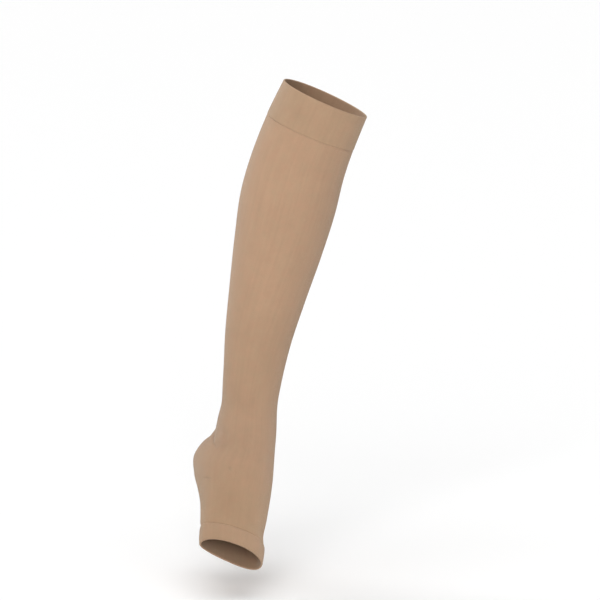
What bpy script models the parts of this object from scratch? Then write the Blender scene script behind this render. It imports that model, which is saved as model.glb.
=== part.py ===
"""Knee-high compression stocking with an open toe, in the form it has on a right leg.

Metres, +Z up.  The origin lies on the leg's middle line in the top opening, where the leg holds
the stocking up.  The toes point to -Y, and +X is the inner side, where the big toe is.  The
stocking is a knitted tube in four lengths: a doubled top band, the leg, the foot with its heel
pocket, and a doubled band round the open toe.  Its sizes are written in millimetres and degrees,
as on a size card.
"""
import math
from collections import namedtuple

import bmesh
import bpy
from mathutils import Vector

MM = 0.001

# The cloth
KNIT_WALL = 1.2          # the single knit of the leg and the foot
TOP_BAND_WALL = 1.7      # the knit turned in on itself and linked down
TOE_BAND_WALL = 2.0
TOP_BAND_PROUD = 0.3     # how far a doubled band stands out from the single knit beside it
TOE_BAND_PROUD = 0.8
SEAM_GAP = 0.3           # the clear line where two lengths meet
BAND_EDGE_ROUND = 0.6    # the rolled edge of a doubled band

# The leg's pose
LEG_LENGTH = 376.0       # from the rim down to the ankle joint
ANKLE_LEAN = 7.2         # lean to the inner side, low on the leg
RIM_LEAN = 18.1          # and at the rim: the leg bends a little on its way up
FORWARD_LEAN = 5.0       # lean of the whole leg over the toes
CALF_TURN = 26.5         # the calf and the shin are turned inwards from the foot's line
CALF_TURN_FROM = 330.0   # the turn starts this far down
CALF_TURN_TO = 110.0     # and is complete here
FOOT_DROP = 29.0         # the toes point down by this much from square to the leg
FOOT_ROLL = 13.5         # the sole is rolled towards the inner side
FOOT_ROLL_FROM = 55.0    # height above the ankle joint where the roll starts
FOOT_ROLL_OVER = 100.0   # length of leg and heel that takes it up
ANKLE_JOINT_FORWARD = 54.0   # on a flat foot, from the back of the heel
ANKLE_JOINT_HEIGHT = 74.0    # and from the sole
JOINT_BEFORE_AXIS = 11.0     # the ankle joint lies in front of the leg's middle line

# The mesh
POINTS_ROUND = 48
BAND_STEPS = 5           # rings from one row of the tables to the next
LEG_STEPS = 4
FOOT_STEPS = 4
SHARP_EDGE = 50.0
PROBE_STATION = 0.02     # small steps along and round the tube that give the cloth's facing
PROBE_ANGLE = 0.02

# The leg, from the rim down: how far below the rim, how much lower the front of the ring lies
# than its middle, and how far the cloth stands from the leg's middle line on each side.
LegRow = namedtuple("LegRow", "name down dip front back inner outer")
LEG_ROWS = (
    LegRow("rim", 1.0, 6.0, 47.0, 47.0, 42.5, 51.0),
    LegRow("top_seam", 39.5, 6.0, 42.0, 57.0, 46.5, 48.0),
    LegRow("upper_calf", 78.0, 0.0, 39.5, 61.0, 49.5, 49.5),
    LegRow("calf", 115.0, 0.0, 40.5, 61.0, 51.5, 50.5),
    LegRow("lower_calf", 165.0, 0.0, 38.5, 55.5, 47.0, 46.0),
    LegRow("shin", 215.0, 0.0, 33.5, 48.5, 40.0, 41.5),
    LegRow("low_shin", 265.0, 0.0, 29.0, 40.5, 33.0, 37.5),
    LegRow("above_ankle", 310.0, 0.0, 28.0, 32.5, 29.5, 32.5),
    LegRow("ankle", 336.0, 0.0, 30.0, 32.0, 29.0, 30.0),
)

# The foot, as it stands flat: each ring runs from a point on the instep to one on the heel or the
# sole, measured forward from the back of the heel and up from the sole.  Then its half widths, the
# place of its widest line between sole and instep, how square the sole side is, and how far the
# inner edge runs ahead of the outer one.
FootRow = namedtuple(
    "FootRow", "name instep_x instep_z sole_x sole_z inner outer widest squareness slant")
FOOT_ROWS = (
    FootRow("ankle_bones", 73.5, 98.5, 3.0, 74.0, 29.5, 33.0, 0.50, 2.0, 0.0),
    FootRow("heel_top", 82.5, 90.5, 4.0, 47.5, 32.5, 31.5, 0.50, 2.0, 0.0),
    FootRow("heel", 91.0, 83.5, 0.0, 25.5, 36.5, 34.5, 0.50, 2.0, 1.5),
    FootRow("heel_under", 100.5, 77.0, 12.5, 4.0, 40.0, 38.0, 0.50, 2.2, 4.0),
    FootRow("heel_front", 111.0, 69.5, 39.5, 0.0, 40.5, 37.0, 0.50, 2.4, 3.5),
    FootRow("back_arch", 123.0, 62.0, 69.5, 4.0, 38.5, 35.0, 0.48, 2.5, 3.0),
    FootRow("arch", 135.0, 55.0, 96.5, 8.0, 36.0, 35.0, 0.46, 2.5, 3.5),
    FootRow("forefoot", 147.0, 48.5, 121.0, 8.0, 34.5, 35.5, 0.44, 2.6, 4.5),
    FootRow("toe_seam", 156.0, 45.0, 137.0, 7.5, 35.5, 36.5, 0.42, 2.6, 5.0),
    FootRow("toe_rim", 172.5, 37.5, 163.0, 4.5, 31.5, 35.0, 0.42, 2.6, 6.5),
)

# The largest folds, each a soft arc across the tube: the row that it lies past and how far past it
# as a share of the way to the next row, its middle as an angle round the tube (0 front, 90 inner,
# 180 back or sole, 270 outer), half its length round the tube, half its width and how far one end
# runs down, again as shares of a row, and its height, less than 0 for a crease.
Fold = namedtuple("Fold", "name row past angle half_length half_width skew height")
FOLDS = (
    Fold("tendon_roll", "ankle", 0.80, 196.0, 46.0, 0.36, 0.20, 0.5),
    Fold("tendon_crease", "ankle_bones", 0.35, 203.0, 50.0, 0.40, 0.25, -1.1),
    Fold("arch_crease", "back_arch", 0.35, 130.0, 42.0, 0.24, 0.15, -0.9),
    Fold("arch_roll", "back_arch", 0.80, 122.0, 38.0, 0.24, 0.15, 0.6),
    Fold("ball_crease", "arch", 0.60, 110.0, 36.0, 0.26, -0.15, -0.8),
)

# Cloth colours, as linear red, green and blue
LEG_COLOUR = (0.485, 0.325, 0.218, 1.0)
FOOT_COLOUR = (0.450, 0.297, 0.192, 1.0)
BAND_COLOUR = (0.465, 0.312, 0.208, 1.0)
CLOTH_ROUGHNESS = 0.85


# A ring of cloth: its front and back points in the leg's middle plane, as distances forward of
# the middle line and up from the rim, and then what shapes it between them.
Ring = namedtuple(
    "Ring", "front_forward front_up back_forward back_up inner outer widest squareness slant")


def leg_ring(row):
    """The ring of a row of the leg's table."""
    return Ring(row.front, -row.down - row.dip, -row.back, -row.down + row.dip,
                row.inner, row.outer, 0.5, 2.0, 0.0)


def on_leg(forward, height):
    """A point of the flat foot, turned down at the ankle joint and carried to the leg."""
    drop = math.radians(FOOT_DROP)
    ahead = forward - ANKLE_JOINT_FORWARD
    above = height - ANKLE_JOINT_HEIGHT
    return (ahead * math.cos(drop) + above * math.sin(drop) + JOINT_BEFORE_AXIS,
            above * math.cos(drop) - ahead * math.sin(drop) - LEG_LENGTH)


def foot_ring(row):
    """The ring of a row of the foot's table."""
    return Ring(*on_leg(row.instep_x, row.instep_z), *on_leg(row.sole_x, row.sole_z),
                row.inner, row.outer, row.widest, row.squareness, row.slant)


ROW_NAMES = [row.name for row in LEG_ROWS + FOOT_ROWS]
RINGS = [leg_ring(row) for row in LEG_ROWS] + [foot_ring(row) for row in FOOT_ROWS]


def travel(ring, following):
    """How far the cloth runs from one ring to the next, front and back taken together."""
    return math.dist(ring[:4], following[:4])


SPANS = [travel(a, b) for a, b in zip(RINGS, RINGS[1:])]


def slope(row):
    """Change of every size of a ring for each millimetre of travel, at a row."""
    if row == 0:
        return [(b - a) / SPANS[0] for a, b in zip(RINGS[0], RINGS[1])]
    if row == len(RINGS) - 1:
        return [(b - a) / SPANS[-1] for a, b in zip(RINGS[-2], RINGS[-1])]
    before, after = SPANS[row - 1], SPANS[row]
    return [((b - a) / before * after + (c - b) / after * before) / (before + after)
            for a, b, c in zip(RINGS[row - 1], RINGS[row], RINGS[row + 1])]


SLOPES = [slope(row) for row in range(len(RINGS))]


def ring_at(station):
    """The ring at a station, on a smooth curve through the rows: 0 is the rim, 1 the next row."""
    row = min(int(station), len(RINGS) - 2)
    t = station - row
    span = SPANS[row]
    start = 2 * t ** 3 - 3 * t ** 2 + 1
    leave = (t ** 3 - 2 * t ** 2 + t) * span
    arrive = (t ** 3 - t ** 2) * span
    return Ring(*(start * a + leave * m + (1 - start) * b + arrive * n for a, m, b, n
                  in zip(RINGS[row], SLOPES[row], RINGS[row + 1], SLOPES[row + 1])))


def station_past(name, distance):
    """The station that lies a distance in millimetres down the cloth from a named row."""
    row = ROW_NAMES.index(name)
    span = SPANS[row] if distance >= 0 and row < len(SPANS) else SPANS[row - 1]
    # a span counts the front and the back, so an even step down the tube is shorter than it
    return row + distance * math.sqrt(2) / span


def ease(value):
    """A smooth step from 0 to 1."""
    value = min(max(value, 0.0), 1.0)
    return value * value * (3 - 2 * value)


def fold_height(station, degrees):
    """How far the folds lift the cloth at a station, at an angle round the tube."""
    height = 0.0
    for fold in FOLDS:
        row = ROW_NAMES.index(fold.row)
        turn = (degrees - fold.angle) / fold.half_length
        if abs(turn) >= 1.0:
            continue
        along = station - row - fold.past - fold.skew * turn
        fade = math.cos(turn * math.pi / 2) ** 2
        height += fold.height * fade * math.exp(-(along / fold.half_width) ** 2)
    return height


def pose(forward, inward, up):
    """A point of the upright leg, carried to the worn pose, in metres."""
    # the foot rolls at the ankle
    roll = math.radians(FOOT_ROLL) * ease((FOOT_ROLL_FROM - LEG_LENGTH - up) / FOOT_ROLL_OVER)
    above_joint = up + LEG_LENGTH
    inward, up = (inward * math.cos(roll) + above_joint * math.sin(roll),
                  above_joint * math.cos(roll) - inward * math.sin(roll) - LEG_LENGTH)
    # the calf turns on the leg's middle line
    turn = math.radians(CALF_TURN) * ease((up + CALF_TURN_FROM) / (CALF_TURN_FROM - CALF_TURN_TO))
    forward, inward = (forward * math.cos(turn) - inward * math.sin(turn),
                       forward * math.sin(turn) + inward * math.cos(turn))
    # the middle line is an arc from the rim to the ankle, and straight below it
    low, high = math.radians(ANKLE_LEAN), math.radians(RIM_LEAN)
    bend = (high - low) / LEG_LENGTH
    on_arc = max(up, -LEG_LENGTH)
    lean = high + bend * on_arc
    x = (math.cos(high) - math.cos(lean)) / bend + (up - on_arc) * math.sin(low)
    z = (math.sin(lean) - math.sin(high)) / bend + (up - on_arc) * math.cos(low)
    x += inward * math.cos(lean)
    z -= inward * math.sin(lean)
    # the leg leans over the toes
    tip = math.radians(FORWARD_LEAN)
    y = -forward * math.cos(tip) - z * math.sin(tip)
    z = z * math.cos(tip) - forward * math.sin(tip)
    return Vector((x, y, z)) * MM


def form_point(station, angle):
    """A point of the plain form, without folds: a station down the tube, an angle round it."""
    ring = ring_at(station)
    drop = math.radians(FOOT_DROP)
    middle_forward = ring.back_forward + (ring.front_forward - ring.back_forward) * ring.widest
    middle_up = ring.back_up + (ring.front_up - ring.back_up) * ring.widest
    ahead, aside = math.cos(angle), math.sin(angle)
    if ahead >= 0:
        arm = (ring.front_forward - middle_forward, ring.front_up - middle_up)
    else:
        arm = (middle_forward - ring.back_forward, middle_up - ring.back_up)
        power = 2.0 / ring.squareness
        ahead = -abs(ahead) ** power
        aside = math.copysign(abs(aside) ** power, aside)
    width = ring.inner if aside >= 0 else ring.outer
    forward = middle_forward + ahead * arm[0] + aside * ring.slant * math.cos(drop)
    up = middle_up + ahead * arm[1] - aside * ring.slant * math.sin(drop)
    return pose(forward, aside * width, up)


def cloth_point(station, angle, out):
    """A point of the folded cloth, moved out from its face by a distance in millimetres."""
    down = (form_point(station + PROBE_STATION, angle)
            - form_point(station - PROBE_STATION, angle))
    across = (form_point(station, angle + PROBE_ANGLE)
              - form_point(station, angle - PROBE_ANGLE))
    lift = (out + fold_height(station, math.degrees(angle))) * MM
    return form_point(station, angle) + down.cross(across).normalized() * lift


def cloth_material(name, colour):
    """A matt knitted cloth."""
    material = bpy.data.materials.new(name)
    material.use_nodes = True
    shader = material.node_tree.nodes["Principled BSDF"]
    shader.inputs["Base Color"].default_value = colour
    shader.inputs["Roughness"].default_value = CLOTH_ROUGHNESS
    shader.inputs["Metallic"].default_value = 0.0
    return material


def knitted_tube(name, first, last, steps, wall, proud, material):
    """A length of tube between two stations: a loft down its outer face and up its inner one."""
    stations = [first + (last - first) * step / steps for step in range(steps + 1)]
    section = [(station, proud) for station in stations]
    section += [(station, proud - wall) for station in reversed(stations)]
    bm = bmesh.new()
    loops = []
    for station, out in section:
        angles = (2 * math.pi * step / POINTS_ROUND for step in range(POINTS_ROUND))
        loops.append([bm.verts.new(cloth_point(station, angle, out)) for angle in angles])
    for loop, following in zip(loops, loops[1:] + loops[:1]):
        for here in range(POINTS_ROUND):
            beside = (here + 1) % POINTS_ROUND
            bm.faces.new((loop[here], following[here], following[beside], loop[beside]))
    mesh = bpy.data.meshes.new(name)
    bm.to_mesh(mesh)
    bm.free()
    mesh.materials.append(material)
    mesh.shade_smooth()
    mesh.set_sharp_from_angle(angle=math.radians(SHARP_EDGE))
    tube = bpy.data.objects.new(name, mesh)
    collection.objects.link(tube)
    return tube


def rolled_edges(band):
    """The soft edge of a doubled band, where the knit turns over."""
    roll = band.modifiers.new("rolled_edges", "BEVEL")
    roll.width = BAND_EDGE_ROUND * MM
    roll.segments = 1
    roll.limit_method = "ANGLE"
    roll.angle_limit = math.radians(SHARP_EDGE)


for leftover in list(bpy.data.objects):
    bpy.data.objects.remove(leftover, do_unlink=True)
collection = bpy.data.collections.new("compression_stocking")
bpy.context.scene.collection.children.link(collection)

rim, toe_rim = 0.0, float(ROW_NAMES.index("toe_rim"))
top_seam = ROW_NAMES.index("top_seam")
ankle = ROW_NAMES.index("ankle")
toe_seam = ROW_NAMES.index("toe_seam")

top_band = knitted_tube(
    "top_band", rim, top_seam, BAND_STEPS, TOP_BAND_WALL, TOP_BAND_PROUD,
    cloth_material("doubled_top_band", BAND_COLOUR))
rolled_edges(top_band)

knitted_tube(
    "leg", station_past("top_seam", SEAM_GAP), ankle, LEG_STEPS * (ankle - top_seam),
    KNIT_WALL, 0.0, cloth_material("leg_knit", LEG_COLOUR))

knitted_tube(
    "foot", station_past("ankle", SEAM_GAP), toe_seam, FOOT_STEPS * (toe_seam - ankle),
    KNIT_WALL, 0.0, cloth_material("foot_knit", FOOT_COLOUR))

toe_band = knitted_tube(
    "toe_band", station_past("toe_seam", SEAM_GAP), toe_rim, BAND_STEPS, TOE_BAND_WALL,
    TOE_BAND_PROUD, cloth_material("doubled_toe_band", BAND_COLOUR))
rolled_edges(toe_band)
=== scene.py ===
import math
from collections import namedtuple

import bmesh
import bpy
import numpy as np
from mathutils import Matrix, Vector


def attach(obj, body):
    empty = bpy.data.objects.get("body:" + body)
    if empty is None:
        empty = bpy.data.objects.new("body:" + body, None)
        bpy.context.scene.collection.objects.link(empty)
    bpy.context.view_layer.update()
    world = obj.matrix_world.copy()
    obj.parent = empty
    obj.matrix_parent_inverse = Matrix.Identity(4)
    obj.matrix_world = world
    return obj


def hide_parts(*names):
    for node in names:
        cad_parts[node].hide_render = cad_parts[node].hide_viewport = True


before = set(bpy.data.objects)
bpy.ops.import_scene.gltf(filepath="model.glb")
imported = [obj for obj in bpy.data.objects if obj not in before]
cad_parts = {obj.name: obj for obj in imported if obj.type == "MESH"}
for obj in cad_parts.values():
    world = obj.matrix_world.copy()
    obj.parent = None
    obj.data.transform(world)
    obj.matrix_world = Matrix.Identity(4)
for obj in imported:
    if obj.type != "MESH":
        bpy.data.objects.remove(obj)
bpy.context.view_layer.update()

# ==============================================================================================
# The leg and the foot
# One tube of fine elastic yarn, knitted in the round on a machine of 384 needles, so it has no
# side seam. The stitches are drawn in at the ankle and let out over the calf and the heel.
# The bands at its two ends are linked to it.
# ==============================================================================================
MM = 0.001               # sizes are in millimetres and degrees, meshes in metres
KNIT_WALL = 1.2          # the single knit's thickness
LEG_LENGTH = 376.0       # from the rim down to the ankle joint
ANKLE_LEAN = 7.2         # lean to the inner side, low on the leg
RIM_LEAN = 18.1          # and at the rim
FORWARD_LEAN = 5.0       # lean of the whole leg over the toes
CALF_TURN = 26.5         # the calf and the shin are turned inwards from the foot's line
CALF_TURN_FROM = 330.0   # the turn starts this far down
CALF_TURN_TO = 110.0     # and is complete here
FOOT_DROP = 29.0         # the toes point down by this much from square to the leg
FOOT_ROLL = 13.5         # the sole is rolled towards the inner side
FOOT_ROLL_FROM = 55.0    # height above the ankle joint where the roll starts
FOOT_ROLL_OVER = 100.0   # length of leg and heel that takes it up
ANKLE_JOINT_FORWARD = 54.0   # on a flat foot, from the back of the heel
ANKLE_JOINT_HEIGHT = 74.0    # and from the sole
JOINT_BEFORE_AXIS = 11.0     # the ankle joint lies in front of the leg's middle line

# The leg's rows: how far below the rim each lies, how far its front dips and its back rises from
# there, and how far the cloth stands from the leg's middle line on each side.
LegRow = namedtuple("LegRow", "name down dip front back inner outer")
LEG_ROWS = (
    LegRow("rim", 1.0, 6.0, 47.0, 47.0, 42.5, 51.0),
    LegRow("top_seam", 39.5, 6.0, 42.0, 57.0, 46.5, 48.0),
    LegRow("upper_calf", 78.0, 0.0, 39.5, 61.0, 49.5, 49.5),
    LegRow("calf", 115.0, 0.0, 40.5, 61.0, 51.5, 50.5),
    LegRow("lower_calf", 165.0, 0.0, 38.5, 55.5, 47.0, 46.0),
    LegRow("shin", 215.0, 0.0, 33.5, 48.5, 40.0, 41.5),
    LegRow("low_shin", 265.0, 0.0, 29.0, 40.5, 33.0, 37.5),
    LegRow("above_ankle", 310.0, 0.0, 28.0, 32.5, 29.5, 32.5),
    LegRow("ankle", 336.0, 0.0, 30.0, 32.0, 29.0, 30.0),
)
# The foot's rows, as it stands flat: a point on the instep and one on the heel or the sole, each
# forward from the back of the heel and up from the sole, the half widths, where between the two
# points the foot is widest, how square its sole side is (an ellipse is 2), and how far the inner
# edge runs ahead of the middle and the outer edge behind it.
FootRow = namedtuple(
    "FootRow", "name instep_x instep_z sole_x sole_z inner outer widest squareness slant")
FOOT_ROWS = (
    FootRow("ankle_bones", 73.5, 98.5, 3.0, 74.0, 29.5, 33.0, 0.50, 2.0, 0.0),
    FootRow("heel_top", 82.5, 90.5, 4.0, 47.5, 32.5, 31.5, 0.50, 2.0, 0.0),
    FootRow("heel", 91.0, 83.5, 0.0, 25.5, 36.5, 34.5, 0.50, 2.0, 1.5),
    FootRow("heel_under", 100.5, 77.0, 12.5, 4.0, 40.0, 38.0, 0.50, 2.2, 4.0),
    FootRow("heel_front", 111.0, 69.5, 39.5, 0.0, 40.5, 37.0, 0.50, 2.4, 3.5),
    FootRow("back_arch", 123.0, 62.0, 69.5, 4.0, 38.5, 35.0, 0.48, 2.5, 3.0),
    FootRow("arch", 135.0, 55.0, 96.5, 8.0, 36.0, 35.0, 0.46, 2.5, 3.5),
    FootRow("forefoot", 147.0, 48.5, 121.0, 8.0, 34.5, 35.5, 0.44, 2.6, 4.5),
    FootRow("toe_seam", 156.0, 45.0, 137.0, 7.5, 35.5, 36.5, 0.42, 2.6, 5.0),
    FootRow("toe_rim", 172.5, 37.5, 163.0, 4.5, 31.5, 35.0, 0.42, 2.6, 6.5),
)
ROW_NAMES = [row.name for row in LEG_ROWS + FOOT_ROWS]
MIDWAY = 0.5
ELLIPSE = 2.0

# The creases, all in millimetres and degrees: how far past a row one lies, its middle as an angle
# round the tube (0 front, 90 inner, 180 back or sole, 270 outer), how far it is turned from
# running straight round the tube, half its length and width, and its height (a trough's is less
# than 0).
Crease = namedtuple("Crease", "name row past angle tilt half_length half_width height")
CREASES = (
    Crease("band_pull", "top_seam", 0.0, 10.0, 0.0, 24.0, 0.9, -0.42),
    Crease("tendon_roll", "ankle", 13.0, 196.0, 12.0, 27.0, 7.5, 0.5),
    Crease("tendon_trough", "ankle_bones", 5.0, 203.0, 12.0, 30.0, 7.0, -1.1),
    Crease("arch_trough", "back_arch", 9.5, 130.0, 12.0, 26.0, 6.2, -0.9),
    Crease("arch_roll", "back_arch", 21.0, 122.0, 12.0, 24.0, 6.2, 0.6),
    Crease("ball_trough", "arch", 14.0, 110.0, -12.0, 23.0, 6.0, -0.8),
    Crease("tendon_line_a", "ankle", 4.0, 188.0, 5.0, 18.0, 1.5, -0.22),
    Crease("tendon_line_b", "ankle", 9.0, 207.0, -4.0, 22.0, 1.7, -0.30),
    Crease("tendon_line_c", "ankle", 17.5, 183.0, 9.0, 24.0, 1.9, -0.34),
    Crease("tendon_line_d", "ankle_bones", 8.0, 212.0, 3.0, 20.0, 1.8, -0.26),
    Crease("tendon_line_e", "ankle_bones", 13.0, 176.0, 14.0, 17.0, 1.6, -0.24),
    Crease("ankle_roll", "heel_top", 1.0, 292.0, 0.0, 30.0, 12.0, 2.0),
    Crease("heel_hollow", "heel_top", 11.0, 240.0, 0.0, 30.0, 7.5, -1.6),
    Crease("heel_fold", "heel_top", 4.0, 258.0, 34.0, 38.0, 4.5, -0.8),
    Crease("heel_kink", "heel_top", 6.5, 264.0, 37.0, 27.0, 1.7, -1.15),
    Crease("heel_tick", "heel_front", 8.6, 284.0, -4.0, 9.0, 1.1, -0.45),
    Crease("outer_tick", "heel_under", 5.2, 324.0, 80.0, 5.0, 1.0, -0.35),
    Crease("arch_line_a", "back_arch", 2.0, 118.0, 18.0, 17.0, 1.7, -0.28),
    Crease("arch_line_b", "back_arch", 13.0, 141.0, 4.0, 19.0, 1.6, -0.30),
    Crease("arch_line_c", "arch", 4.0, 123.0, -8.0, 16.0, 1.8, -0.26),
    Crease("ball_line", "forefoot", 3.0, 128.0, -15.0, 15.0, 1.6, -0.24),
    Crease("toe_tuck", "toe_seam", 0.5, 250.0, 0.0, 24.0, 5.0, -1.1),
    Crease("toe_slim", "toe_seam", -4.0, 70.0, 0.0, 32.0, 20.0, -2.1),
    Crease("toe_flare", "toe_seam", 19.0, 250.0, 0.0, 26.0, 8.0, 1.3),
    Crease("toe_pucker_a", "toe_seam", 2.0, 98.0, 82.0, 11.0, 1.5, -0.45),
    Crease("toe_pucker_b", "toe_seam", 3.5, 112.0, 96.0, 12.5, 1.8, -0.55),
    Crease("toe_pucker_c", "toe_seam", 1.0, 128.0, 87.0, 10.0, 1.6, -0.40),
    Crease("toe_pucker_d", "toe_seam", 4.0, 147.0, 94.0, 9.0, 1.5, -0.32),
    Crease("toe_pucker_e", "toe_seam", 2.0, 221.0, 90.0, 9.5, 1.7, -0.30),
)


def on_leg(forward, height):
    """A point of the flat foot, turned down at the ankle joint and carried to the leg."""
    drop = math.radians(FOOT_DROP)
    ahead, above = forward - ANKLE_JOINT_FORWARD, height - ANKLE_JOINT_HEIGHT
    return (ahead * math.cos(drop) + above * math.sin(drop) + JOINT_BEFORE_AXIS,
            above * math.cos(drop) - ahead * math.sin(drop) - LEG_LENGTH)


# Each ring: front point (forward, up), back point, inner, outer, widest, squareness, slant.
RINGS = np.array(
    [(r.front, -r.down - r.dip, -r.back, -r.down + r.dip, r.inner, r.outer, MIDWAY, ELLIPSE, 0.0)
     for r in LEG_ROWS]
    + [(*on_leg(r.instep_x, r.instep_z), *on_leg(r.sole_x, r.sole_z),
        r.inner, r.outer, r.widest, r.squareness, r.slant) for r in FOOT_ROWS])
SPANS = np.linalg.norm(np.diff(RINGS[:, :4], axis=0), axis=1)
STEPS = np.diff(RINGS, axis=0) / SPANS[:, None]
SLOPES = np.vstack([
    STEPS[:1],
    (STEPS[:-1] * SPANS[1:, None] + STEPS[1:] * SPANS[:-1, None])
    / (SPANS[:-1] + SPANS[1:])[:, None],
    STEPS[-1:]])
# How far down the cloth each row lies: a span counts the front and the back.
DEPTHS = np.concatenate([[0.0], np.cumsum(SPANS / math.sqrt(2))])


def depth_of(row, past=0.0):
    """How far down the cloth a place lies that is some millimetres past a row."""
    return DEPTHS[ROW_NAMES.index(row)] + past


def ring_at(station):
    """The rings at some stations, on a smooth curve through the rows."""
    row = np.clip(station.astype(int), 0, len(RINGS) - 2)
    t = (station - row)[..., None]
    span = SPANS[row][..., None]
    start = 2 * t ** 3 - 3 * t ** 2 + 1
    return (start * RINGS[row] + (t ** 3 - 2 * t ** 2 + t) * span * SLOPES[row]
            + (1 - start) * RINGS[row + 1] + (t ** 3 - t ** 2) * span * SLOPES[row + 1])


def ease(value):
    """A smooth step from 0 to 1."""
    value = np.clip(value, 0.0, 1.0)
    return value * value * (3 - 2 * value)


def worn(station, angle):
    """The form's points: the ring at a station, carried to the worn pose, in metres."""
    ring = np.moveaxis(ring_at(station), -1, 0)
    front, back = ring[0:2], ring[2:4]
    inner, outer, widest, squareness, slant = ring[4:]
    middle = back + (front - back) * widest
    ahead, aside = np.cos(angle), np.sin(angle)
    power = np.where(ahead >= 0, 1.0, ELLIPSE / squareness)
    ahead = np.sign(ahead) * np.abs(ahead) ** power
    aside = np.sign(aside) * np.abs(aside) ** power
    arm = np.where(ahead >= 0, front - middle, middle - back)
    drop = math.radians(FOOT_DROP)
    forward = middle[0] + ahead * arm[0] + aside * slant * math.cos(drop)
    up = middle[1] + ahead * arm[1] - aside * slant * math.sin(drop)
    inward = aside * np.where(aside >= 0, inner, outer)
    # the foot rolls at the ankle, and the calf turns on the leg's middle line
    roll = math.radians(FOOT_ROLL) * ease((FOOT_ROLL_FROM - LEG_LENGTH - up) / FOOT_ROLL_OVER)
    above = up + LEG_LENGTH
    inward, up = (inward * np.cos(roll) + above * np.sin(roll),
                  above * np.cos(roll) - inward * np.sin(roll) - LEG_LENGTH)
    turn = math.radians(CALF_TURN) * ease((up + CALF_TURN_FROM) / (CALF_TURN_FROM - CALF_TURN_TO))
    forward, inward = (forward * np.cos(turn) - inward * np.sin(turn),
                       forward * np.sin(turn) + inward * np.cos(turn))
    # the middle line is an arc from the rim to the ankle, and straight below it
    low, high = math.radians(ANKLE_LEAN), math.radians(RIM_LEAN)
    bend = (high - low) / LEG_LENGTH
    on_arc = np.maximum(up, -LEG_LENGTH)
    lean = high + bend * on_arc
    x = (math.cos(high) - np.cos(lean)) / bend + (up - on_arc) * math.sin(low)
    z = (np.sin(lean) - math.sin(high)) / bend + (up - on_arc) * math.cos(low)
    x = x + inward * np.cos(lean)
    z = z - inward * np.sin(lean)
    tip = math.radians(FORWARD_LEAN)
    y = -forward * math.cos(tip) - z * math.sin(tip)
    z = z * math.cos(tip) - forward * math.sin(tip)
    return np.stack([x, y, z], axis=-1) * MM


FOLD_RADIUS = 35.0       # turns an angle round the ankle and the foot into a length
WANDER_SHARE = 0.12      # how far a crease wanders to either side, as a share of its half width
WANDER_PACE = 0.55       # and how fast it does so, in radians a millimetre
FINE_CREASE = 2.0        # a crease of less than this half width gathers the stitches and gets painted shade
FULL_GATHER = 0.4        # the depth at which they are gathered most, and their painted shade darkest


def folds(depth, angle):
    """How far the creases lift the cloth, in millimetres, and the painted shade where fine ones
    gather it.
    """
    height = np.zeros(np.broadcast(depth, angle).shape)
    painted_crease_shade = np.zeros(height.shape)
    for crease in CREASES:
        off = (np.degrees(angle) - crease.angle + 180.0) % 360.0 - 180.0
        around = np.radians(off) * FOLD_RADIUS
        along = depth - depth_of(crease.row, crease.past)
        tilt = math.radians(crease.tilt)
        run = around * math.cos(tilt) + along * math.sin(tilt)
        side = along * math.cos(tilt) - around * math.sin(tilt)
        side = side + (WANDER_SHARE * crease.half_width
                       * np.sin(run * WANDER_PACE + crease.angle))
        fade = np.cos(np.clip(run / crease.half_length, -1, 1) * math.pi / 2) ** 2
        share = fade * np.exp(-(side / crease.half_width) ** 2)
        height += crease.height * share
        if crease.half_width < FINE_CREASE:
            painted_crease_shade = np.maximum(painted_crease_shade, share * min(1.0, -crease.height / FULL_GATHER))
    return height, painted_crease_shade


PROBE = 0.02             # small steps along and round the tube that give the cloth's facing


def on_cloth(depth, angle, out):
    """Points of the folded cloth, moved out from its face, and the way the cloth faces."""
    depth, angle, out = np.broadcast_arrays(depth, angle, out)
    station = np.interp(depth, DEPTHS, np.arange(len(DEPTHS)))
    past_end = (np.minimum(depth, 0.0) / (DEPTHS[1] - DEPTHS[0])
                + np.maximum(depth - DEPTHS[-1], 0.0) / (DEPTHS[-1] - DEPTHS[-2]))
    station = station + past_end
    down = worn(station + PROBE, angle) - worn(station - PROBE, angle)
    across = worn(station, angle + PROBE) - worn(station, angle - PROBE)
    facing = np.cross(down, across)
    facing /= np.linalg.norm(facing, axis=-1, keepdims=True)
    lift = (out + folds(depth, angle)[0]) * MM
    return worn(station, angle) + facing * lift[..., None], facing


CLOSED_AT = math.pi      # the grid's two long edges are closed along the back
GRID_HALF = 0.5          # the grid is made one unit wide and one long
MERGE_REACH = 1e-6       # metres


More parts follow.
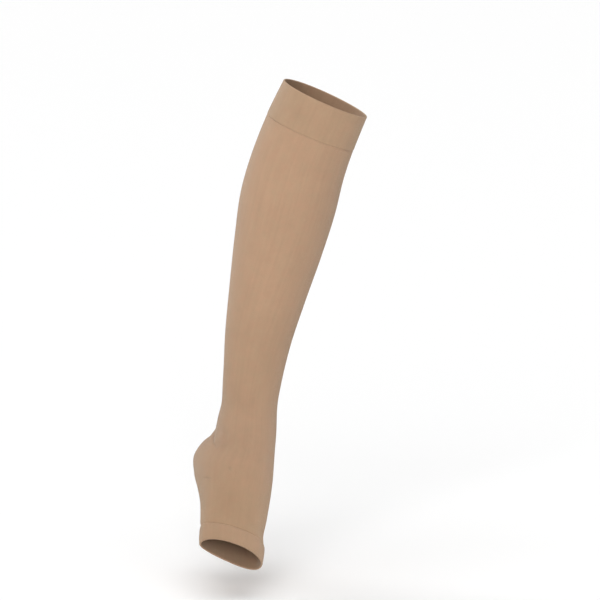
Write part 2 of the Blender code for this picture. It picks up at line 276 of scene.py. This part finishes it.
def knitted_tube(name, section, columns, layer, material):
    """A length of knit, made flat as a grid, rolled into its tube and closed along the back.

    section is the list of (depth, out) that its rows follow, and layer its thickness."""
    bm = bmesh.new()
    stitches = bm.loops.layers.uv.new("stitches")
    painted_crease_shade = bm.verts.layers.float.new("painted_crease_shade")
    bmesh.ops.create_grid(bm, x_segments=columns, y_segments=len(section) - 1,
                          size=GRID_HALF)
    depth, out = (np.array(values) for values in zip(*section))
    run = np.concatenate([[0.0], np.cumsum(np.hypot(np.diff(depth), np.diff(out)))])
    verts = list(bm.verts)
    flat = np.array([vert.co[:2] for vert in verts]) + GRID_HALF
    row = np.rint((1.0 - flat[:, 1]) * (len(section) - 1)).astype(int)
    angle = flat[:, 0] * 2 * math.pi + CLOSED_AT
    points, _ = on_cloth(depth[row], angle, out[row])
    gathers = folds(depth[row], angle)[1]
    for face in bm.faces:
        for corner in face.loops:
            at = corner.vert.index
            corner[stitches].uv = (flat[at, 0], 1.0 - run[row[at]] / run[-1])
    for vert, point, gather in zip(verts, points, gathers):
        vert.co = point
        vert[painted_crease_shade] = gather
    bmesh.ops.remove_doubles(bm, verts=bm.verts, dist=MERGE_REACH)
    mesh = bpy.data.meshes.new(name)
    bm.to_mesh(mesh)
    bm.free()
    mesh.shade_smooth()
    mesh.materials.append(material)
    tube = bpy.data.objects.new(name, mesh)
    bpy.context.scene.collection.objects.link(tube)
    wall = tube.modifiers.new("wall", "SOLIDIFY")
    wall.thickness = layer * MM
    wall.offset = -1.0
    wall.use_even_offset = True
    return tube


class Strand:
    """A value in a material. Sums written with it become Math nodes."""

    def __init__(self, recipe, socket):
        self.recipe, self.socket = recipe, socket

    def maths(self, operation, *others):
        return self.recipe.add("ShaderNodeMath", {"operation": operation}, [self, *others])

    def __add__(self, other):
        return self.maths("ADD", other)

    __radd__ = __add__

    def __mul__(self, other):
        return self.maths("MULTIPLY", other)

    __rmul__ = __mul__

    def __sub__(self, other):
        return self.maths("SUBTRACT", other)

    def __rsub__(self, other):
        return self.recipe.add("ShaderNodeMath", {"operation": "SUBTRACT"}, [other, self])

    def __pow__(self, other):
        return self.maths("POWER", other)


# A Mix node has sockets of one name for numbers, vectors and colours: these are the colours'.
MIX_SHARE, MIX_FIRST, MIX_SECOND, MIX_RESULT = 0, 6, 7, 2


class Recipe:
    """A material of one Principled shader and the nodes that feed it."""

    def __init__(self, name):
        self.material = bpy.data.materials.new(name)
        self.material.use_nodes = True
        self.tree = self.material.node_tree
        self.shader = self.tree.nodes["Principled BSDF"]

    def add(self, kind, settings, inputs, output=0):
        """A node of a kind, with its settings made first, then its sockets' values or links."""
        node = self.tree.nodes.new(kind)
        for setting, value in settings.items():
            setattr(node, setting, value)
        self.fill(node, inputs if isinstance(inputs, dict) else dict(enumerate(inputs)))
        return Strand(self, node.outputs[output])

    def fill(self, node, inputs):
        """A node's sockets, by name or place, given their values or links."""
        for key, value in inputs.items():
            if isinstance(value, Strand):
                self.tree.links.new(value.socket, node.inputs[key])
            else:
                node.inputs[key].default_value = value

    def mixed(self, share, first, second):
        """Two colours mixed."""
        return self.add("ShaderNodeMix", {"data_type": "RGBA"}, {
            MIX_SHARE: share, MIX_FIRST: first, MIX_SECOND: second}, MIX_RESULT)

    def tinted(self, colour, strength):
        """A colour made lighter or darker by a number."""
        colour = colour if isinstance(colour, Strand) else colour[:3]
        return self.add("ShaderNodeVectorMath", {"operation": "SCALE"}, {
            "Vector": colour, "Scale": strength})

    def step(self, value, start, end):
        """A number that goes smoothly from 0 to 1 between two values of another."""
        return self.add("ShaderNodeMapRange", {"interpolation_type": "SMOOTHSTEP"}, {
            "Value": value, "From Min": start, "From Max": end, "To Min": 0.0, "To Max": 1.0})


WALES = 384              # columns of stitches round the tube
COURSE = 0.62            # millimetres from one row of stitches to the next
V_MIDDLE = 0.25          # where a V's leg of yarn is highest, as a share of the wale
V_LEAN = 1.1             # rows that a leg of yarn climbs for each wale's width
STITCH_FLOOR = 0.3       # a leg of yarn where it is lowest, against 1 where it is highest
STREAK_RING = 15.0       # the streaks' noise is read on a ring: some 90 streaks round the tube
STREAK_CLIMB = 0.012     # that rises by this much in a millimetre: a streak is 80 mm long
STREAKS = {"Scale": 1.0, "Detail": 3.0, "Roughness": 0.55}
CLOUD = {"Scale": 38.0, "Detail": 4.0, "Roughness": 0.75}    # soft patches, 26 mm wide
SPECK = {"Scale": 900.0, "Detail": 2.0, "Roughness": 0.6}    # single stitches
DYE = {"Scale": 110.0, "Detail": 3.0, "Roughness": 0.6}      # patches of dye, 9 mm wide
CLOUD_DARK, CLOUD_LIGHT = 0.905, 1.085
COOL_DYE = (0.950, 1.025, 1.020, 1.0)
WARM_DYE = (1.050, 0.975, 0.980, 1.0)
STREAK_SHADE, SPECK_SHADE, STITCH_SHADE = 0.13, 0.10, 0.10   # how much each changes the tone
LEAST_SHADE = 0.93       # of the tone, between the stitches
SEAM_PAINTED_SHADE_REACH = 2.0   # millimetres of knit beside a seam that get painted shade
CREASE_PAINTED_SHADE = 0.17      # painted shade in the fine creases, where the stitches are gathered
STREAK_HEIGHT = 0.8      # of a streak in the bump, against 1 for a stitch
BUMP_STRENGTH = 0.55
BUMP_DEPTH = 0.00025     # metres
CLOTH_ROUGHNESS, ROUGHNESS_SPREAD = 0.86, 0.12
CLOTH_GLOSS = 0.22
SHEEN, SHEEN_SPREAD = 0.22, 0.42
SHEEN_TINT = (0.95, 1.0, 0.94, 1.0)


def knit_material(name, length, tones, top_painted_shade, low_painted_shade):
    """Fine plain knit. tones are (share of the length from the top, colour), and the two painted
    shades darken the last stitches at its top and its low end."""
    recipe = Recipe(name)
    at = recipe.add("ShaderNodeUVMap", {"uv_map": "stitches"}, {})
    round_tube = recipe.add("ShaderNodeSeparateXYZ", {}, [at])
    up_tube = Strand(recipe, round_tube.socket.node.outputs["Y"])
    # each stitch is a V: two legs of yarn that lean together
    column = (round_tube * WALES).maths("FRACT") - 0.5
    from_middle = column.maths("ABSOLUTE")
    leg_of_v = 1 - ((from_middle - V_MIDDLE) * (1 / V_MIDDLE)) ** 2
    rows = up_tube * (length / COURSE) + from_middle * V_LEAN
    along_leg = (rows * (2 * math.pi)).maths("SINE") * 0.5 + 0.5
    stitch = leg_of_v * (along_leg * (1 - STITCH_FLOOR) + STITCH_FLOOR)
    # yarn tension differs from wale to wale and from one stretch of the tube to the next
    turn = round_tube * (2 * math.pi)
    ring = recipe.add("ShaderNodeCombineXYZ", {}, [
        turn.maths("COSINE") * STREAK_RING, turn.maths("SINE") * STREAK_RING,
        up_tube * (length * STREAK_CLIMB)])
    streaks = recipe.add("ShaderNodeTexNoise", {}, {"Vector": ring, **STREAKS})
    place = recipe.add("ShaderNodeTexCoord", {}, {}, "Object")
    cloud = recipe.add("ShaderNodeTexNoise", {}, {"Vector": place, **CLOUD})
    speck = recipe.add("ShaderNodeTexNoise", {}, {"Vector": place, **SPECK})
    colour = tones[0][1]
    for (above, _), (below, tone) in zip(tones, tones[1:]):
        colour = recipe.mixed(recipe.step(1 - up_tube, above, below), colour, tone)
    colour = recipe.mixed(
        cloud, recipe.tinted(colour, CLOUD_DARK), recipe.tinted(colour, CLOUD_LIGHT))
    # the yarn takes the dye a little warmer here and cooler there
    dye = recipe.add("ShaderNodeTexNoise", {}, {"Vector": place, **DYE})
    colour = recipe.add("ShaderNodeVectorMath", {"operation": "MULTIPLY"}, {
        0: colour, 1: recipe.mixed(dye, COOL_DYE, WARM_DYE)})
    shade = ((streaks - 0.5) * STREAK_SHADE + (speck - 0.5) * SPECK_SHADE
             + stitch * STITCH_SHADE + LEAST_SHADE)
    # painted shade on the last stitches beside the seams, at the top and at the low end
    top = recipe.step((1 - up_tube) * length, 0.0, SEAM_PAINTED_SHADE_REACH)
    low = recipe.step(up_tube * length, 0.0, SEAM_PAINTED_SHADE_REACH)
    # painted shade: the knit is darkened in the fine creases
    painted_crease_shade = recipe.add("ShaderNodeAttribute", {"attribute_name": "painted_crease_shade"}, {}, "Fac")
    shade = shade * (1 - painted_crease_shade * CREASE_PAINTED_SHADE)
    shade = shade * (top * (1 - top_painted_shade) + top_painted_shade) * (low * (1 - low_painted_shade) + low_painted_shade)
    colour = recipe.tinted(colour, shade)
    bump = recipe.add("ShaderNodeBump", {}, {
        "Strength": BUMP_STRENGTH, "Distance": BUMP_DEPTH,
        "Height": stitch + (streaks - 0.5) * STREAK_HEIGHT})
    recipe.fill(recipe.shader, {
        "Base Color": colour,
        "Roughness": CLOTH_ROUGHNESS + (speck - 0.5) * ROUGHNESS_SPREAD,
        "Normal": bump,
        "Specular IOR Level": CLOTH_GLOSS,
        "Sheen Weight": SHEEN,
        "Sheen Roughness": SHEEN_SPREAD,
        "Sheen Tint": SHEEN_TINT})
    return recipe.material


TOP_SEAM_DIP = 0.05      # how far the knit is drawn in where it is linked to a band
TOE_SEAM_DIP = 0.23
SEAM_DIP_WIDTH = 0.6
SEAM_HALF_GAP = 0.15     # from the middle of a seam to the cloth on either side
SEAM_PAINTED_SHADES = (0.99, 0.92)   # painted shade on the last stitches at the top seam and at the toe seam
TUBE_COLUMNS = 200       # of the mesh, round the tube
LEG_ROW_STEP = 4.2       # millimetres between the rows of the mesh
FOOT_ROW_STEP = 1.5      # and where the creases are
FOOT_ROWS_START = 8.0    # past the row above the ankle
SEAM_ROWS = (0.0, 0.35, 0.75, 1.2, 1.8, 2.6)   # the closer rows beside a seam
ROW_CLEARANCE = 1.0      # from these to the even rows

LEG_TONE = (0.460, 0.292, 0.184, 1.0)
LOW_LEG_TONE = (0.422, 0.270, 0.169, 1.0)
ANKLE_TONE = (0.400, 0.255, 0.162, 1.0)
FOOT_TONE = (0.376, 0.240, 0.146, 1.0)
# Each tone, and the share of the way from the top seam to the toe seam where it is reached.
LEG_TONES = (
    (0.0, LEG_TONE), (0.30, LEG_TONE), (0.55, LOW_LEG_TONE), (0.68, ANKLE_TONE),
    (0.95, FOOT_TONE))


def single_section():
    """The (depth, out) of the single knit's rows, from the top seam to the toe seam."""
    first = depth_of("top_seam", SEAM_HALF_GAP)
    last = depth_of("toe_seam", -SEAM_HALF_GAP)
    ankle = depth_of("above_ankle", FOOT_ROWS_START)
    depths = [first + step for step in SEAM_ROWS]
    depths += list(np.arange(depths[-1] + ROW_CLEARANCE, ankle, LEG_ROW_STEP))
    depths += list(np.arange(ankle, last - SEAM_ROWS[-1] - ROW_CLEARANCE, FOOT_ROW_STEP))
    depths += [last - step for step in reversed(SEAM_ROWS)]
    return [(depth, -TOP_SEAM_DIP * math.exp(-((depth - first) / SEAM_DIP_WIDTH) ** 2)
             - TOE_SEAM_DIP * math.exp(-((last - depth) / SEAM_DIP_WIDTH) ** 2))
            for depth in depths]


knit_length = depth_of("toe_seam") - depth_of("top_seam")
single_knit = knit_material("single_knit", knit_length, LEG_TONES, *SEAM_PAINTED_SHADES)
leg_and_foot = knitted_tube(
    "leg_and_foot_knit", single_section(), TUBE_COLUMNS, KNIT_WALL, single_knit)
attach(leg_and_foot, "root")
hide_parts("leg", "foot")

# ==============================================================================================
# The top band
# The same elastic knit, made twice as long here, turned in on itself over the rim and linked down
# all round, which makes a double band that grips the leg below the knee.
# ==============================================================================================
BAND_LAYER = 0.8         # the thickness of each of its two layers
TOP_BAND_PROUD = 0.3     # how far its outer layer stands out from the single knit
TOP_BAND_WALL = 1.7      # both layers and the air between them
TOP_BAND_PAINTED_SHADES = (0.99, 0.99)   # painted shade on the last stitches of the inner and the outer layer
BAND_COLUMNS = 192       # of the mesh, round a band
BAND_ROW_STEP = 2.2
BAND_ROW_CLEARANCE = 1.2     # from the closer rows beside the seam to the even ones
ROLL_CLEARANCE = 0.6         # from the even rows to the rolled rim
ROLL_STEPS = 8               # of the mesh, over the rim
TURN_OVER = (0.46, 0.52)     # shares of the knit between which it turns over at the rim
BAND_TONE = (0.443, 0.288, 0.180, 1.0)
BAND_INNER_TONE = (0.410, 0.260, 0.164, 1.0)


def doubled_section(seam, rim, proud, wall, dip):
    """The (depth, out) of a doubled band: up its outer layer, over the rim, down the inner one.

    It starts at the linked seam, above the rim or below it. proud is how far its outer layer
    stands out, wall the thickness of both, and dip how far the seam is drawn in."""
    way = 1.0 if rim > seam else -1.0
    length, radius = abs(rim - seam), wall / 2
    steps = [SEAM_HALF_GAP + step for step in SEAM_ROWS]
    steps += list(np.arange(
        SEAM_ROWS[-1] + BAND_ROW_CLEARANCE, length - radius - ROLL_CLEARANCE, BAND_ROW_STEP))
    outer = [(seam + way * step,
              proud - (proud + dip) * math.exp(-(step / SEAM_DIP_WIDTH) ** 2))
             for step in steps]
    roll = []
    for step in range(ROLL_STEPS + 1):
        turn = math.pi * step / ROLL_STEPS
        roll.append((rim - way * radius * (1 - math.sin(turn)),
                     proud - radius + radius * math.cos(turn)))
    inner = [(seam + way * step, proud - wall) for step in reversed(steps)]
    section = outer + roll + inner
    return section if way > 0 else section[::-1]


top_band_knit = knit_material(
    "doubled_top_knit", 2 * depth_of("top_seam"),
    ((0.0, BAND_INNER_TONE), (TURN_OVER[0], BAND_INNER_TONE), (TURN_OVER[1], BAND_TONE)),
    *TOP_BAND_PAINTED_SHADES)
top_band = knitted_tube(
    "doubled_top_band",
    doubled_section(depth_of("top_seam"), 0.0, TOP_BAND_PROUD, TOP_BAND_WALL, TOP_SEAM_DIP),
    BAND_COLUMNS, BAND_LAYER, top_band_knit)
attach(top_band, "root")
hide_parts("top_band")

# ==============================================================================================
# The toe band
# The end of the elastic tube is turned in and linked down in the same way, round the roots of
# the toes. It is a little thicker than the top band, and its knit puckers under the big toe.
# ==============================================================================================
TOE_BAND_PROUD = 0.8
TOE_BAND_WALL = 2.0
TOE_BAND_PAINTED_SHADES = (0.97, 0.90)   # painted shade on the last stitches of the outer and the inner layer
TOE_TONE = (0.378, 0.244, 0.153, 1.0)
TOE_INNER_TONE = (0.372, 0.236, 0.149, 1.0)

toe_band_knit = knit_material(
    "doubled_toe_knit", 2 * (depth_of("toe_rim") - depth_of("toe_seam")),
    ((0.0, TOE_TONE), (TURN_OVER[0], TOE_TONE), (TURN_OVER[1], TOE_INNER_TONE)),
    *TOE_BAND_PAINTED_SHADES)
toe_band = knitted_tube(
    "doubled_toe_band",
    doubled_section(depth_of("toe_seam"), depth_of("toe_rim"), TOE_BAND_PROUD, TOE_BAND_WALL,
                    TOE_SEAM_DIP),
    BAND_COLUMNS, BAND_LAYER, toe_band_knit)
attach(toe_band, "root")
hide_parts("toe_band")

# ==============================================================================================
# The linked seams
# Each doubled band is closed by a line of small slanted stitches of the same yarn, linked in the
# groove beside it, about three to every four wales at the top and one to every two at the toe.
# ==============================================================================================
LINK_SIZE = (0.62, 0.30, 0.26)   # half length, half width and half height of a linking stitch
LINK_SIDES = (6, 4)      # round and along it
LINK_RISE = 0.05         # of its middle above the bottom of the groove
LINK_SLANT = 32.0
LINK_PITCH = 1.05
TOP_SEAM_GIRTH = 306.0
TOE_SEAM_GIRTH = 187.0
YARN_TONE = (0.500, 0.322, 0.205, 1.0)
YARN_SPECK = {"Scale": 700.0, "Detail": 2.0}
YARN_PULL = {"Scale": 75.0, "Detail": 2.0}
YARN_SPECK_SHADE, YARN_PULL_SHADE, YARN_LEAST_SHADE = 0.3, 0.9, 0.40
YARN_ROUGHNESS = 0.8
YARN_SHEEN, YARN_SHEEN_SPREAD = 0.3, 0.4

yarn = Recipe("linking_yarn")
yarn_place = yarn.add("ShaderNodeTexCoord", {}, {}, "Object")
yarn_speck = yarn.add("ShaderNodeTexNoise", {}, {"Vector": yarn_place, **YARN_SPECK})
# some stretches are drawn tighter, and show darker, than others
yarn_pull = yarn.add("ShaderNodeTexNoise", {}, {"Vector": yarn_place, **YARN_PULL})
yarn_shade = yarn_speck * YARN_SPECK_SHADE + yarn_pull * YARN_PULL_SHADE + YARN_LEAST_SHADE
yarn.fill(yarn.shader, {
    "Base Color": yarn.tinted(YARN_TONE, yarn_shade),
    "Roughness": YARN_ROUGHNESS,
    "Sheen Weight": YARN_SHEEN,
    "Sheen Roughness": YARN_SHEEN_SPREAD,
    "Sheen Tint": SHEEN_TINT})


def linked_seam(name, seam, out, girth):
    """A ring of slanted stitches laid in the groove of a seam."""
    count = int(girth / LINK_PITCH)
    angle = np.arange(count) * 2 * math.pi / count
    points, facing = on_cloth(np.full(count, seam), angle, np.full(count, out))
    ahead, _ = on_cloth(np.full(count, seam), angle + PROBE, np.full(count, out))
    slant = math.radians(LINK_SLANT)
    bm = bmesh.new()
    for point, normal, beside in zip(points, facing, ahead):
        normal = Vector(normal)
        across = (Vector(beside) - Vector(point)).normalized()
        down = normal.cross(across).normalized()
        long_way = across * math.cos(slant) + down * math.sin(slant)
        wide_way = down * math.cos(slant) - across * math.sin(slant)
        stitch = bmesh.ops.create_uvsphere(
            bm, u_segments=LINK_SIDES[0], v_segments=LINK_SIDES[1], radius=MM)["verts"]
        for vert in stitch:
            length, width = vert.co.z * LINK_SIZE[0], vert.co.y * LINK_SIZE[1]
            height = vert.co.x * LINK_SIZE[2]
            vert.co = Vector(point) + long_way * length + wide_way * width + normal * height
    bmesh.ops.recalc_face_normals(bm, faces=bm.faces)
    mesh = bpy.data.meshes.new(name)
    bm.to_mesh(mesh)
    bm.free()
    mesh.shade_smooth()
    mesh.materials.append(yarn.material)
    seam_line = bpy.data.objects.new(name, mesh)
    bpy.context.scene.collection.objects.link(seam_line)
    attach(seam_line, "root")
    return seam_line


top_linking = linked_seam(
    "top_band_linking", depth_of("top_seam"), LINK_RISE - TOP_SEAM_DIP, TOP_SEAM_GIRTH)
toe_linking = linked_seam(
    "toe_band_linking", depth_of("toe_seam"), LINK_RISE - TOE_SEAM_DIP, TOE_SEAM_GIRTH)

# ==============================================================================================
# The studio
# A wide pale floor and white walls, a soft key light from the front left, one from overhead and
# a weak one from behind, a small low lamp on the right for the foot, and a long lens.
# ==============================================================================================
FLOOR_HEIGHT = -0.515    # metres, as all the studio's sizes and places are
FLOOR_REACH = 60.0
FLOOR_SIDES = 64
FLOOR_TONE = (0.97, 0.97, 0.97, 1.0)
FLOOR_ROUGHNESS = 0.9
WALL_TONE = (1.0, 1.0, 1.0, 1.0)
WALL_LIGHT = 0.24        # what the walls give to the room
WALL_BRIGHTNESS = 1.0    # and how bright they are seen
FOOT_LAMP_WATTS = 31.0
FOOT_LAMP_CONE = 17.0
FOOT_LAMP_FADE = 1.0     # its light fades from the middle of the cone to the edge
FOOT_LAMP_SIZE = 0.15
FOOT_LAMP_STAND = (1.05, -0.43, -0.36)
FOOT_LAMP_AIM = (-0.10, -0.03, -0.455)
CAMERA_STAND = (-1.0236, -2.8122, 0.2093)
CAMERA_AZIMUTH = -19.45
CAMERA_TILT = 8.03
CAMERA_LENS, SENSOR_WIDTH = 172.6, 36.0   # millimetres
CAMERA_REACH = 200.0     # far enough to see the floor's edge

bm = bmesh.new()
bmesh.ops.create_circle(bm, cap_ends=True, segments=FLOOR_SIDES, radius=FLOOR_REACH)
bmesh.ops.translate(bm, verts=bm.verts, vec=(0, 0, FLOOR_HEIGHT))
floor_mesh = bpy.data.meshes.new("floor")
bm.to_mesh(floor_mesh)
bm.free()
floor = bpy.data.objects.new("floor", floor_mesh)
bpy.context.scene.collection.objects.link(floor)
paper = Recipe("pale_floor")
paper.fill(paper.shader, {"Base Color": FLOOR_TONE, "Roughness": FLOOR_ROUGHNESS})
floor_mesh.materials.append(paper.material)

world = bpy.data.worlds.new("studio")
bpy.context.scene.world = world
world.use_nodes = True
walls = world.node_tree.nodes["Background"]
walls.inputs["Color"].default_value = WALL_TONE
# the white walls are seen bright, but light the room only as much as the lamps leave for them
seen = world.node_tree.nodes.new("ShaderNodeLightPath").outputs["Is Camera Ray"]
glow = world.node_tree.nodes.new("ShaderNodeMapRange")
glow.inputs["To Min"].default_value = WALL_LIGHT
glow.inputs["To Max"].default_value = WALL_BRIGHTNESS
world.node_tree.links.new(seen, glow.inputs["Value"])
world.node_tree.links.new(glow.outputs["Result"], walls.inputs["Strength"])
bpy.context.scene.view_settings.view_transform = "Standard"


def soft_sun(name, azimuth, elevation, strength, spread):
    """A wide, even light from a direction round the object."""
    lamp = bpy.data.lights.new(name, "SUN")
    lamp.energy = strength
    lamp.angle = math.radians(spread)
    light = bpy.data.objects.new(name, lamp)
    bpy.context.scene.collection.objects.link(light)
    turn, rise = math.radians(azimuth), math.radians(elevation)
    towards = Vector((
        math.sin(turn) * math.cos(rise), -math.cos(turn) * math.cos(rise), math.sin(rise)))
    light.rotation_mode = "QUATERNION"
    light.rotation_quaternion = towards.to_track_quat("Z", "Y")


soft_sun("key", azimuth=-28.0, elevation=22.0, strength=1.54, spread=36.0)
soft_sun("overhead", azimuth=-30.0, elevation=80.0, strength=1.65, spread=60.0)
soft_sun("rim", azimuth=-140.0, elevation=38.0, strength=0.62, spread=30.0)

foot_lamp_data = bpy.data.lights.new("foot_lamp", "SPOT")
foot_lamp_data.energy = FOOT_LAMP_WATTS
foot_lamp_data.spot_size = math.radians(FOOT_LAMP_CONE)
foot_lamp_data.spot_blend = FOOT_LAMP_FADE
foot_lamp_data.shadow_soft_size = FOOT_LAMP_SIZE
foot_lamp = bpy.data.objects.new("foot_lamp", foot_lamp_data)
bpy.context.scene.collection.objects.link(foot_lamp)
foot_lamp.location = FOOT_LAMP_STAND
foot_lamp.rotation_mode = "QUATERNION"
foot_lamp.rotation_quaternion = (
    Vector(FOOT_LAMP_STAND) - Vector(FOOT_LAMP_AIM)).to_track_quat("Z", "Y")
foot_lamp.visible_camera = False

camera_data = bpy.data.cameras.new("camera")
camera_data.lens = CAMERA_LENS
camera_data.sensor_width = SENSOR_WIDTH
camera_data.clip_end = CAMERA_REACH
camera = bpy.data.objects.new("camera", camera_data)
bpy.context.scene.collection.objects.link(camera)
camera.location = CAMERA_STAND
camera.rotation_euler = (
    math.radians(90.0 - CAMERA_TILT), 0.0, math.radians(CAMERA_AZIMUTH))
bpy.context.scene.camera = camera
